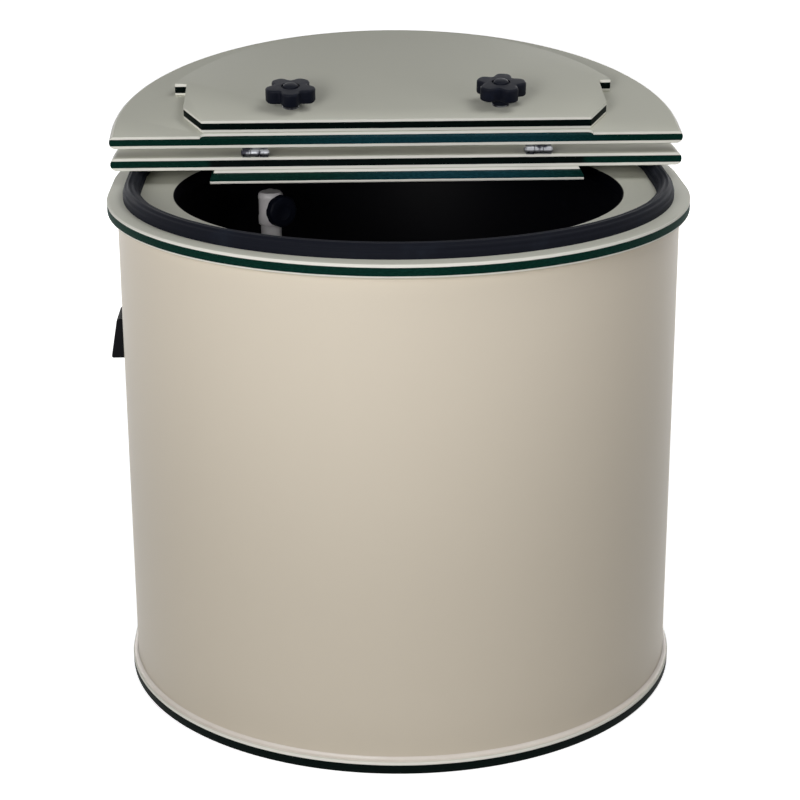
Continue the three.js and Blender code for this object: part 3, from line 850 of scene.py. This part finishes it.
def star_knob(hub_height):
    """Five lobes on a slim hub, and a low cap in a groove."""
    top = KNOB_BASE - hub_height
    bottom = top - KNOB_HEIGHT
    head = slab(lobed(KNOB_RADIUS, 5, 0.3, 24), bottom, KNOB_HEIGHT)
    soften(head, 3.2, 5, None, 60)
    hub = turned([
        (0, top - 2), (10.8, top - 2), (9.5, top + 1), (8.8, top + 3),
        (8.7, KNOB_BASE - 0.6), (8.1, KNOB_BASE), (0, KNOB_BASE),
    ])
    cap = turned([
        (0, bottom - 2.5), (3.2, bottom - 2.35), (5.8, bottom - 1.8), (7.2, bottom - 0.8),
        (7.6, bottom + 0.2), (7.6, bottom + 4), (0, bottom + 4),
    ])
    groove = tube(9.3, 6.5, bottom - 4, bottom + 1.4, 0)
    knob = fuse(carve(head, groove), hub, cap)
    return carve(knob, rod(STUD_HOLE, KNOB_BASE - (STUD_DEPTH + SEAT), KNOB_BASE + 3, 0, SMALL))


# The left knob is screwed down further on its stud.
knob_turns = (18, -7)
hub_heights = (6, 8)
for (x, y), side, turn, hub_height in zip(knob_places, ("left", "right"), knob_turns, hub_heights):
    place = FOLD @ moved(x, y, 0)
    body = "knob_" + side
    knob = placed(star_knob(hub_height), spun(math.radians(turn), "Z"))
    stud = rod(STUD_RADIUS, KNOB_BASE - STUD_DEPTH, LID_BOTTOM + 8.5, 0.8, SMALL)
    washer = tube(8.5, STUD_HOLE, WASHER_TOP - WASHER_THICKNESS, WASHER_TOP, 0.3)
    for name, drawing, finish, rider, slot in (
        ("star_knob_", knob, KNOB_FINISH, body, "black_plastic"),
        ("knob_stud_", stud, STEEL_FINISH, body, "steel"),
        ("knob_washer_", washer, STEEL_FINISH, "front_lid", "steel"),
    ):
        finished(name + "piece_" + side, drawing, finish, rider, [name + side], place)


# Hinges

def leaf(side, knuckles, lift):
    """A leaf on one side of the line, with its knuckles, the bore for the pin and the screw sinks."""
    inner, outer = 4.4, 25
    bm = outline([(x, side * y) for x, y in (
        (-LEAF_HALF, inner), (LEAF_HALF, inner), (LEAF_HALF, outer), (-LEAF_HALF, outer),
    )])
    corners = [vert for vert in bm.verts if abs(vert.co.y) > inner + 1]
    bmesh.ops.bevel(
        bm, geom=corners, offset=3, offset_type="OFFSET", segments=4,
        profile=0.5, affect="VERTICES", clamp_overlap=True, material=-1,
    )
    bmesh.ops.recalc_face_normals(bm, faces=bm.faces)
    underside = LID_TOP + lift
    slab(bm, underside, LEAF_THICKNESS)
    soften(bm, 0.25, 1, None, 70)
    reach = (KNUCKLE - KNUCKLE_GAP) / 2
    near, far = sorted((0, side * (inner + 0.6)))
    parts = []
    for knuckle in knuckles:
        middle = knuckle * KNUCKLE
        barrel = rod(BARREL_RADIUS, middle - reach, middle + reach, 0.25)
        web = block((middle - reach, near, underside), (middle + reach, far, underside + LEAF_THICKNESS))
        parts += [placed(barrel, ON_AXIS), web]
    bm = fuse(bm, *parts)
    sinks = [
        placed(screw_blank(0.3, lift), moved(shift, side * SCREW_REACH, 0))
        for shift, _ in LEAF_SCREWS
    ]
    bore = placed(rod(PIN_BORE, -20, 20, 0, SMALL), ON_AXIS)
    return carve(bm, bore, *sinks)


def screw_blank(clearance, lift):
    """A countersunk screw without its recess, or the hole for one where there is clearance."""
    top = LEAF_TOP + lift
    point = top - SCREW_LENGTH
    shank, head = 1.8 + clearance, 3.6 + clearance
    return turned([
        (0, point), (shank, point + 0.5), (shank, top - 1.7),
        (head, top - 0.25), (head, top + clearance), (0, top + clearance),
    ], SMALL)


def screw(lift):
    """Countersunk, with a cross recess."""
    top = LEAF_TOP + lift
    bars = [
        placed(block((-2.1, -0.45, top - 1.1), (2.1, 0.45, top + 1)), spun(turn, "Z"))
        for turn in (0.3, 0.3 + math.pi / 2)
    ]
    return carve(screw_blank(0, lift), *bars)


def pin():
    """A pin with a low head at each end."""
    end = LEAF_HALF + SEAT
    head = [
        (PIN_RADIUS, end), (3.2, end), (3.2, end + 0.3), (2.8, end + 0.6), (1.6, end + 0.8), (0, end + 0.8),
    ]
    shaft = turned([(radius, -reach) for radius, reach in reversed(head)] + head, SMALL)
    return placed(shaft, ON_AXIS)


for side, x in HINGES:
    place = moved(x, 0, 0)
    folded = FOLD @ place
    for name, drawing, body, where in (
        ("hinge_leaf_fixed_", leaf(1, (-1, 1), 0), "tank", place),
        ("hinge_leaf_moving_", leaf(-1, (0,), SEAT), "front_lid", folded),
        ("hinge_pin_", pin(), "tank", place),
    ):
        finished(name + "piece_" + side, drawing, STEEL_FINISH, body, [name + side], where)
    for shift, order in LEAF_SCREWS:
        tail = side + "_" + order
        for name, lift, body, where in (
            ("screw_fixed_", 0, "tank", place @ moved(shift, SCREW_REACH, 0)),
            ("screw_moving_", SEAT, "front_lid", folded @ moved(shift, -SCREW_REACH, 0)),
        ):
            finished(name + "piece_" + tail, screw(lift), STEEL_FINISH, body, [name + tail], where)


# Plumbing

def hose_barb():
    """A six-sided nut with three barbs in line, bored through."""
    nut_corner, barbs, crest, bore = 17, 3, 10.2, 6.6
    hex_end = BARB_START + NUT_HEIGHT
    end = hex_end + BARB_LENGTH
    nut = slab(circle(nut_corner, 6), BARB_START, NUT_HEIGHT)
    soften(nut, 0.9, 2, None, 50)
    profile = [(0, PIPE_END), (BARB_RADIUS, PIPE_END)]
    for i in range(barbs):
        foot = hex_end + BARB_LENGTH * (i + 0.5) / (barbs + 0.5)
        tip = hex_end + BARB_LENGTH * (i + 1.5) / (barbs + 0.5)
        profile += [(BARB_RADIUS, foot - 0.4), (crest - 0.2, foot), (crest, foot + 0.3)]
        profile += [(BARB_RADIUS, tip - 0.5)]
    profile += [(BARB_RADIUS - 0.4, end), (0, end)]
    barb = fuse(nut, turned(profile))
    socket = rod(SOCKET_BORE, BARB_START - OVERRUN, PIPE_END + SEAT, 0)
    return carve(barb, socket, rod(bore, BARB_START, end + 8, 0))


def laid(bm):
    return placed(bm, LAID)


def flange_nut():
    """A ring with finger grips cut round its rim, against the liner."""
    radius, thickness, grips = 19, 5, 12
    ring = tube(radius, SOCKET_BORE, NUT_FACE - thickness, NUT_FACE, 0.8)
    cuts = []
    for grip in range(grips):
        around = spun(grip * 2 * math.pi / grips, "Z") @ moved(radius + 0.6, 0, 0)
        cuts.append(placed(rod(1.6, NUT_FACE - thickness - 1, NUT_FACE - 1.2, 0, 12), around))
    return carve(ring, *cuts)


# The inlet's pipe runs in to the elbow, and the drain's ends just past its nut.
for start, place, inner in (("inlet", AT_INLET, RISER_REACH + PIPE_STOP), ("drain", AT_DRAIN, NUT_FACE - 8)):
    for name, drawing, finish, slot in (
        ("_hose_barb", hose_barb(), FITTING_FINISH, "black_plastic"),
        ("_flange_nut", flange_nut(), PIPE_FINISH, "white_pvc"),
        ("_pipe", tube(PIPE_RADIUS, PIPE_BORE, inner, PIPE_END), PIPE_FINISH, "white_pvc"),
    ):
        finished(start + name + "_piece", laid(drawing), finish, "tank", [start + name], place)


def strainer(face):
    """A round cup with upright slots, its rim towards the wall."""
    depth, radius, wall, slot_count, slot_half, share = 14, 24, 2.4, 5, 1.5, 0.8
    front, inside = face - depth, radius - wall
    cup = turned([
        (0, front), (radius - 2.5, front), (radius - 0.7, front + 0.7), (radius, front + wall),
        (radius, face), (inside, face),
        (inside, front + wall + 0.8), (inside - 0.8, front + wall), (0, front + wall),
    ])
    slots = []
    for i in range(slot_count):
        y = inside * ((2 * i + 1) / slot_count - 1) * share
        reach = math.sqrt(inside ** 2 - y ** 2) * share
        corners = [(-reach, -slot_half), (reach, -slot_half), (reach, slot_half), (-reach, slot_half)]
        slot = slab(outline(corners), front - 2, 7)
        soften(slot, 1.4, 4, lambda co: abs(co.x) > 1.6, 70)
        slots.append(placed(slot, moved(0, y, 0)))
    return carve(cup, *slots)


for name, face, place in (
    ("drain_strainer", DRAIN_CUP_FACE, AT_DRAIN), ("overflow_strainer", LINER - SEAT, ON_LEFT),
):
    finished(name + "_piece", laid(strainer(face)), FITTING_FINISH, "tank", [name], place)
overflow = laid(tube(
    OVERFLOW_RADIUS, OVERFLOW_BORE, LINER - OVERFLOW_STANDOUT, SHELL_RADIUS + OVERFLOW_STANDOUT,
))
finished("overflow_pipe_piece", overflow, PIPE_FINISH, "tank", ["overflow_pipe"], ON_LEFT)


def hood():
    """A wedge that leans out to its open foot, moulded in one thickness."""
    back = SHELL_RADIUS + SEAT
    bm = outline([(back, -HOOD_HALF), (HOOD_FOOT, -HOOD_HALF), (HOOD_TOP, HOOD_HALF), (back, HOOD_HALF)])
    slab(bm, -HOOD_WIDTH / 2, HOOD_WIDTH)
    placed(bm, spun(math.pi / 2, "X"))
    soften(bm, HOOD_WALL, 4, lambda co: co.x > back + 1, 50)
    bm.normal_update()
    open_faces = [face for face in bm.faces if face.normal.z < -0.9 or face.normal.x < -0.9]
    bmesh.ops.delete(bm, geom=open_faces, context="FACES")
    bmesh.ops.solidify(bm, geom=bm.faces[:], thickness=HOOD_WALL)
    return bm


finished(
    "overflow_hood_piece", hood(), FITTING_FINISH, "tank", ["overflow_hood"], ON_LEFT,
)


# Riser and valve

def elbow():
    """Two sockets joined by a round bend."""
    socket_radius, socket_end, bend_tube, bend_radius = 13.6, 29, 13, 12.5
    upright, level = (tube(socket_radius, SOCKET_BORE, SOCKET_START, socket_end, 0.7) for _ in range(2))
    placed(level, spun(RISER_ANGLE, "Z") @ LAID)
    bend = circle(bend_tube, TURN, False)
    bmesh.ops.translate(bend, verts=bend.verts, vec=(0, 0, bend_radius))
    out = Vector((math.cos(RISER_ANGLE), math.sin(RISER_ANGLE), 0))
    bmesh.ops.spin(
        bend, geom=bend.verts[:] + bend.edges[:], cent=out * bend_radius + UP * bend_radius,
        axis=UP.cross(out), dvec=(0, 0, 0), angle=-math.pi / 2, steps=12,
        use_merge=False, use_duplicate=False,
    )
    bmesh.ops.holes_fill(bend, edges=[edge for edge in bend.edges if edge.is_boundary], sides=0)
    bmesh.ops.recalc_face_normals(bend, faces=bend.faces)
    return fuse(upright, level, bend)


finished(
    "inlet_elbow_piece", elbow(), PIPE_FINISH, "tank", ["inlet_elbow"],
    AT_RISER @ moved(0, 0, FITTING_HEIGHT),
)
riser_top = VALVE_HEIGHT - VALVE_HALF + VALVE_SOCKET - SEAT
riser = tube(PIPE_RADIUS, PIPE_BORE, FITTING_HEIGHT + PIPE_STOP, riser_top)
finished("riser_pipe_piece", riser, PIPE_FINISH, "tank", ["riser_pipe"], AT_RISER)


def valve_body():
    """An upright barrel with a bonnet for the stem and a socket for the spout."""
    body = turned([
        (0, -VALVE_HALF), (12.2, -VALVE_HALF), (12.9, -16.2), (12.9, -8), (12.3, -7), (12.3, 9),
        (12.9, 10), (12.9, 13), (12.2, 15.4), (10.5, VALVE_HALF), (0, VALVE_HALF),
    ])
    bonnet_radius, outlet_radius, outlet_end, port = 8, 11.1, 24, 3.9
    past_end = outlet_end + 10
    bonnet = placed(rod(bonnet_radius, 0, BONNET_END, 0.5), VALVE_TURN @ LAID)
    outlet = placed(rod(outlet_radius, 0, outlet_end, 0.6), SPOUT_TURN @ LAID)
    whole = fuse(body, bonnet, outlet)
    return carve(
        whole,
        rod(SOCKET_BORE, -VALVE_HALF - OVERRUN, VALVE_SOCKET - VALVE_HALF, 0),
        rod(PIPE_BORE, -VALVE_HALF, 4, 0),
        placed(rod(port, 0, outlet_end, 0), SPOUT_TURN @ LAID),
        placed(rod(SPOUT_SOCKET, SPOUT_START, past_end, 0), SPOUT_TURN @ LAID),
        placed(rod(STEM_BORE, STEM_START - SEAT, past_end, 0), VALVE_TURN @ LAID),
    )


def valve_knob():
    """A round knob with eight shallow dips in its rim and a dished middle."""
    radius, dips, share, thickness, dish = 16.5, 8, 0.035, 10, 8.2
    front = KNOB_BACK + thickness
    head = slab(lobed(radius, dips, share, 12), KNOB_BACK, thickness)
    soften(head, 2.6, 5, None, 60)
    disc = turned([
        (0, front - 1.2), (dish - 1.2, front - 1.2), (dish, front - 0.8), (dish, front + 2), (0, front + 2),
    ])
    return carve(head, disc, rod(STEM_BORE, BONNET_END, STEM_END + SEAT, 0, SMALL))


finished("valve_body_piece", valve_body(), PIPE_FINISH, "tank", ["valve_body"], AT_VALVE)
stem = rod(STEM_RADIUS, STEM_START, STEM_END, 0.3, SMALL)
at_stem = AT_VALVE @ VALVE_TURN @ LAID
finished("valve_stem_piece", stem, STEEL_FINISH, "valve_knob", ["valve_stem"], at_stem)
finished(
    "valve_knob_piece", valve_knob(), KNOB_FINISH, "valve_knob", ["valve_knob"], at_stem,
)
spout_start = SPOUT_START + SEAT
spout = tube(SPOUT_RADIUS, SPOUT_BORE, spout_start, spout_start + SPOUT_LENGTH)
finished("spout_piece", spout, PIPE_FINISH, "tank", ["spout"], AT_VALVE @ SPOUT_TURN @ LAID)

# The foam keeps the solids' own shapes and takes its finish here.
for name in ("wall_insulation", "floor_insulation"):
    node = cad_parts[name]
    node.data.materials.clear()
    node.data.materials.append(FOAM_FINISH)


# Floor, light and camera

# The camera's place, lens and sensor in millimetres, and its turns in degrees
CAMERA_PLACE = Vector((-68.9, -1993.2, 938.5))
CAMERA_HEADING = -2.028
CAMERA_DIP = 18.808
CAMERA_ROLL = -0.235
CAMERA_LENS = 93.28
CAMERA_SENSOR = 36

floor_bm = bmesh.new()
bmesh.ops.create_grid(floor_bm, x_segments=1, y_segments=1, size=14)
floor = as_object(floor_bm, "studio_floor")
floor_finish = Finish("floor_white")
rays = floor_finish.node("ShaderNodeLightPath")
by_camera, by_gloss = (
    Field(floor_finish, rays.outputs[name]) for name in ("Is Camera Ray", "Is Glossy Ray")
)
seen = by_camera.math("MAXIMUM", by_gloss)
floor_finish.surface(floor_finish.blend(seen, tone(150, 148, 144), tone(238, 238, 238)), 0.9)
east, north, _ = floor_finish.split()
far = (east * east + north * north).between(0.3, 3)
# The glow is seen by the camera and in gloss only. It is weaker near the tank, where its shadow falls.
strength = far * 0.25 + 0.75
glow = floor_finish.node("ShaderNodeEmission", None, {"Color": (1, 1, 1, 1), "Strength": strength})
dark = floor_finish.node("ShaderNodeEmission", None, {"Color": (0, 0, 0, 1), "Strength": 0})
switch = floor_finish.node("ShaderNodeMixShader", None, {
    0: seen, 1: Field(floor_finish, dark.outputs[0]), 2: Field(floor_finish, glow.outputs[0]),
})
total = floor_finish.node("ShaderNodeAddShader", None, {
    0: Field(floor_finish, floor_finish.shader.outputs[0]), 1: Field(floor_finish, switch.outputs[0]),
})
output = floor_finish.tree.nodes["Material Output"]
floor_finish.tree.links.new(total.outputs[0], output.inputs["Surface"])
floor.data.materials.append(floor_finish.material)

scene = bpy.context.scene
scene.view_settings.view_transform = "Standard"
world = bpy.data.worlds.new("studio")
scene.world = world
world.use_nodes = True
sky = world.node_tree
background = sky.nodes["Background"]
background.inputs["Color"].default_value = (1, 1, 1, 1)
path = sky.nodes.new("ShaderNodeLightPath")
either = sky.nodes.new("ShaderNodeMath")
either.operation = "MAXIMUM"
level = sky.nodes.new("ShaderNodeMapRange")
level.inputs["To Min"].default_value = 0.03
level.inputs["To Max"].default_value = 1.0
sky.links.new(path.outputs["Is Camera Ray"], either.inputs[0])
sky.links.new(path.outputs["Is Glossy Ray"], either.inputs[1])
sky.links.new(either.outputs[0], level.inputs["Value"])
sky.links.new(level.outputs[0], background.inputs["Strength"])


def lamp(name, place, aim, width, height, power):
    data = bpy.data.lights.new(name, "AREA")
    data.shape = "RECTANGLE"
    data.size = width
    data.size_y = height
    data.energy = power
    made = bpy.data.objects.new(name, data)
    scene.collection.objects.link(made)
    made.location = place
    made.rotation_euler = (Vector(aim) - Vector(place)).to_track_quat("-Z", "Y").to_euler()


lamp("key", (-0.8, -1.9, 1.1), (0, 0, 0.35), 0.9, 0.7, 14.3)
lamp("front", (-0.7, -2.05, 0.88), (0, 0, 0.46), 0.5, 0.25, 9)
lamp("left", (-1.9, -1.0, 0.9), (0, 0, 0.3), 1.0, 1.0, 3)
lamp("right", (1.6, -1.5, 0.8), (0, 0, 0.3), 1.0, 1.0, 6.5)
lamp("top", (0.7, -0.3, 1.9), (0.05, 0, 0.5), 0.9, 0.9, 6)
for side in (-1, 1):
    lamp("back", (side * 0.9, 2.3, 0.8), (0, 0.1, 0.3), 1.0, 0.8, 11)

camera_data = bpy.data.cameras.new("camera")
camera_data.sensor_width = CAMERA_SENSOR
camera_data.lens = CAMERA_LENS
camera = bpy.data.objects.new("camera", camera_data)
scene.collection.objects.link(camera)
camera.matrix_world = (
    Matrix.Translation(CAMERA_PLACE * MM)
    @ spun(math.radians(CAMERA_HEADING), "Z")
    @ spun(math.radians(90 - CAMERA_DIP), "X")
    @ spun(math.radians(CAMERA_ROLL), "Z")
)
scene.camera = camera
